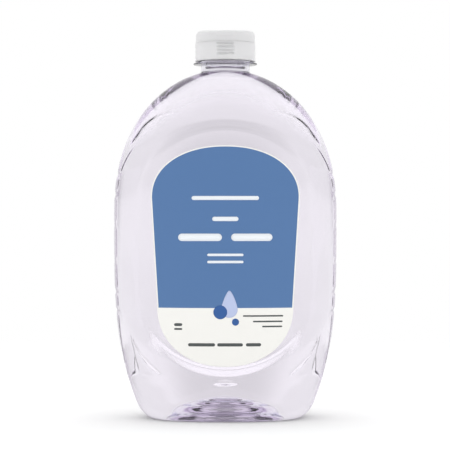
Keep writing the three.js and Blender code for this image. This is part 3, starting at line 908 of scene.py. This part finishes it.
def make_closure(material):
    """The part that screws on: skirt, deck with its orifice, and the ring that the lid snaps over."""
    bottom_z = SHELL_LOW[2]
    deck_z = PARTING_Z - DECK
    spigot_z = SHELL_HIGH[2]
    corners = [
        (SHELL_BORE, bottom_z + 3), (SHELL_BORE, bottom_z, 0.3), (SHELL_BOTTOM_R, bottom_z, 0.5),
        (SHELL_TOP_R, PARTING_Z, 0.12), (SPIGOT_OUT, PARTING_Z, 0.15), (SPIGOT_OUT, spigot_z, 0.3),
        (SPIGOT_IN, spigot_z, 0.3), (SPIGOT_IN, PARTING_Z, 0.2), (ORIFICE_R, PARTING_Z, 0.3),
        (ORIFICE_R, deck_z, 0.3), (SHELL_BORE, deck_z, 0.3), (SHELL_BORE, bottom_z + 3),
    ]
    rings = []
    for radius, z in refined(rounded(corners), CLOSURE_STEP)[:-1]:
        radii = np.full(TURNED_COLUMNS, radius)
        if abs(radius - SHELL_BORE) < 0.01:
            radii = radii - cap_thread_rise(z)
        elif radius > SPIGOT_OUT + OUTSIDE_MARGIN:
            radii = thumb_radius(radii, z)
            radii = strap_radius(radii, z, PARTING_Z - STRAP_GAP - STRAP, PARTING_Z - STRAP_GAP)
        rings.append(circle(radii, z, TURN))
    return loft("closure_shell", rings, material, cyclic=True)


def cap_thread_rise(z):
    """How far the closure's own thread stands in at height z."""
    turned = (-TURN / (2 * np.pi)) % 1
    away = np.abs(z - (THREAD_TOP_Z - THREAD_PITCH / 2) + turned * THREAD_PITCH)
    return thread_ridge(turned / CAP_THREAD_TURNS, away, **CAP_THREAD)


def make_lid(material):
    """The lid with its sealing plug, lower in front, with a ridge for the thumb and its half of the hinge."""
    bottom_z, top_z = PARTING_Z + LID_GAP, LID_HIGH[2]
    under_z = top_z - LID_CEILING
    plug_z = PARTING_Z - PLUG_REACH
    inside_r = LID_BOTTOM_R - LID_WALL
    corners = [
        (0, under_z), (PLUG_IN, under_z, 0.2), (PLUG_IN, plug_z, 0.2), (PLUG_OUT, plug_z, 0.4),
        (PLUG_OUT, under_z, 0.3), (inside_r, under_z, 0.8), (inside_r, bottom_z, 0.2),
        (LID_BOTTOM_R, bottom_z, 0.12), (LID_TOP_R, top_z, LID_CORNER), (0, top_z),
    ]
    rings = []
    for radius, z in refined(rounded(corners, 8), LID_STEP):
        if radius < 1e-6:
            rings.append(np.array([[0, 0, z]]))
            continue
        radii = np.full(TURNED_COLUMNS, radius)
        if radius > inside_r + OUTSIDE_MARGIN and z < top_z - LID_CORNER:
            half = THUMB["ridge"] / 2
            ridge = thumb_width(radius) * band(z, LID_RIDGE_Z - half, LID_RIDGE_Z + half, END_SOFT)
            radii = radii + LID_RIDGE_PROUD * ridge
            radii = strap_radius(radii, z, PARTING_Z + STRAP_GAP, PARTING_Z + STRAP_GAP + STRAP)
        ring = circle(radii, z, TURN)
        in_front = np.clip(-ring[:, 1] / LID_TOP_R, 0, 1)
        ring[:, 2] -= LID_FRONT_DROP * in_front * smoothstep((z - LID_RIDGE_Z) / (top_z - LID_RIDGE_Z))
        rings.append(ring)
    return loft("lid_shell", rings, material)


def make_hinge_film(material):
    """The thin web between the two straps."""
    half, inner, outer = HINGE_WIDTH / 2 - WEB_INSET, HINGE_OUT - WEB_INNER, HINGE_OUT - WEB_OUTER
    low, high = PARTING_Z - STRAP_GAP - WEB_OVERLAP, PARTING_Z + STRAP_GAP + WEB_OVERLAP
    rings = []
    for z in np.linspace(low, high, WEB_RINGS):
        rings.append(np.array([(-half, inner, z), (half, inner, z), (half, outer, z), (-half, outer, z)]))
    rings = [rings[0].mean(0)[None], *rings, rings[-1].mean(0)[None]]
    return loft("hinge_film", rings, material)


def make_washer(material):
    """The flat seal between the deck and the neck."""
    low, high = WASHER_LOW[2], WASHER_HIGH[2]
    outer, inner = WASHER_HIGH[0], WASHER_INNER_R
    corners = [(inner, (low + high) / 2), (inner, low, 0.12), (outer, low, 0.12), (outer, high, 0.12),
               (inner, high, 0.12), (inner, (low + high) / 2)]
    rings = [circle(radius, z, TURN) for radius, z in refined(rounded(corners), WASHER_STEP)[:-1]]
    return loft("washer_ring", rings, material, cyclic=True)


# ---- Studio --------------------------------------------------------------------------------------------

def make_floor():
    """A pale disc that fades out towards its rim, with a faint painted glow that lightens the shade under the
    bottle.
    """
    points = [(0, 0, FLOOR_Z), *circle(FLOOR_R, FLOOR_Z, full_turn(FLOOR_POINTS))]
    faces = [(0, 1 + i, 1 + (i + 1) % FLOOR_POINTS) for i in range(FLOOR_POINTS)]
    # Painted glow: the floor's emission lightens the shade under and round the bottle
    material, nodes, links, shader = new_material(
        "pale_floor", Base_Color=(*FLOOR_GREY, 1), Roughness=0.9, Specular_IOR_Level=0.0,
        Emission_Color=(1, 1, 1, 1), Emission_Strength=FLOOR_PAINTED_GLOW)
    place_at = nodes.new("ShaderNodeTexCoord")
    distance = length_of(nodes, links, place_at.outputs["Object"])
    fade = map_range(nodes, links, distance, "SMOOTHSTEP", From_Min=FLOOR_FADE_FROM, From_Max=FLOOR_FADE_TO,
                     To_Min=1.0, To_Max=0.0)
    links.new(fade, shader.inputs["Alpha"])
    floor = make_object("floor", points, faces, material)


def brightness_ramp(nodes, links, direction, stops):
    """A grey ramp over a direction's part from -1 to 1, through stops of (place, brightness)."""
    ramp = nodes.new("ShaderNodeValToRGB")
    ramp.color_ramp.interpolation = "EASE"
    elements = ramp.color_ramp.elements
    while len(elements) < len(stops):
        elements.new(0.5)
    for element, (place_at, brightness) in zip(elements, stops):
        element.position = (place_at + 1) / 2
        element.color = (brightness, brightness, brightness, 1)
    links.new(map_range(nodes, links, direction, From_Min=-1), ramp.inputs["Fac"])
    return ramp.outputs["Color"]


def make_world():
    """The light from all round.

    It is white to the camera, brighter behind than in front to matt surfaces, and a soft studio with dimmer
    bands to glass and gloss.
    """
    world = bpy.data.worlds.new("studio")
    bpy.context.scene.world = world
    world.use_nodes = True
    nodes, links = world.node_tree.nodes, world.node_tree.links
    direction = nodes.new("ShaderNodeTexCoord")
    split = nodes.new("ShaderNodeSeparateXYZ")
    links.new(direction.outputs["Generated"], split.inputs["Vector"])
    by_height = brightness_ramp(nodes, links, split.outputs["Z"], STUDIO_BY_HEIGHT)
    by_side = brightness_ramp(nodes, links, split.outputs["X"], STUDIO_BY_SIDE)
    seen = math_node(nodes, links, "MULTIPLY", by_height, by_side)
    from_patch = nodes.new("ShaderNodeVectorMath")
    from_patch.operation = "MULTIPLY"
    from_patch.inputs[1].default_value = (1 / PATCH["stretch"], 0, 1)
    links.new(direction.outputs["Generated"], from_patch.inputs[0])
    distance = length_of(nodes, links, from_patch.outputs["Vector"])
    patch = map_range(nodes, links, distance, "SMOOTHSTEP", From_Min=PATCH["inner"], From_Max=PATCH["outer"],
                      To_Min=PATCH["brightness"])
    seen = math_node(nodes, links, "MULTIPLY", seen, patch)
    diffuse = map_range(nodes, links, split.outputs["Y"], From_Min=-1,
                        To_Min=DIFFUSE_FRONT, To_Max=DIFFUSE_BACK)
    path = nodes.new("ShaderNodeLightPath")
    is_glossy, is_through = path.outputs["Is Glossy Ray"], path.outputs["Is Transmission Ray"]
    sees_studio = math_node(nodes, links, "MAXIMUM", is_glossy, is_through)
    studio = nodes.new("ShaderNodeMix")
    links.new(diffuse, studio.inputs["A"])
    links.new(sees_studio, studio.inputs["Factor"])
    links.new(seen, studio.inputs["B"])
    strength = nodes.new("ShaderNodeMix")
    strength.inputs["B"].default_value = 1.0
    links.new(path.outputs["Is Camera Ray"], strength.inputs["Factor"])
    links.new(studio.outputs["Result"], strength.inputs["A"])
    background = nodes["Background"]
    background.inputs["Color"].default_value = (1, 1, 1, 1)
    links.new(strength.outputs["Result"], background.inputs["Strength"])


def make_camera():
    camera = bpy.data.cameras.new("camera")
    camera.sensor_width = SENSOR
    camera.lens = LENS
    thing = bpy.data.objects.new("camera", camera)
    thing.location = CAMERA_AT
    thing.rotation_euler = (math.pi / 2, 0, 0)
    bpy.context.scene.collection.objects.link(thing)
    bpy.context.scene.camera = thing


def set_render():
    scene = bpy.context.scene
    scene.view_settings.view_transform = "Standard"
    scene.cycles.max_bounces = LIGHT_BOUNCES
    scene.cycles.transmission_bounces = LIGHT_BOUNCES
    scene.cycles.glossy_bounces = GLOSSY_BOUNCES


# ---- Build ---------------------------------------------------------------------------------------------

make_camera()
make_world()
make_floor()
set_render()

place(make_bottle(clear_pet()), "filled_bottle", "clear_bottle", "bottle")
place(make_soap(lavender_soap()), "filled_bottle", "soap", "liquid_soap")
FILM = label_film()
place(make_label("front_film", -1, 1, FILM), "filled_bottle", "label_film", "front_label")
place(make_label("back_film", 1, BACK_LABEL_SCALE, FILM), "filled_bottle", "label_film", "back_label")

for printed in make_prints():
    place(printed, "filled_bottle", "label_film")

PLASTIC = milky_plastic()
place(make_closure(PLASTIC), "cap", "closure_plastic", "closure_base")
place(make_lid(PLASTIC), "lid", "closure_plastic", "flip_lid")
place(make_washer(white_foam()), "washer", "foam", "sealing_washer")
HINGE = make_hinge_film(PLASTIC)
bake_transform(HINGE)
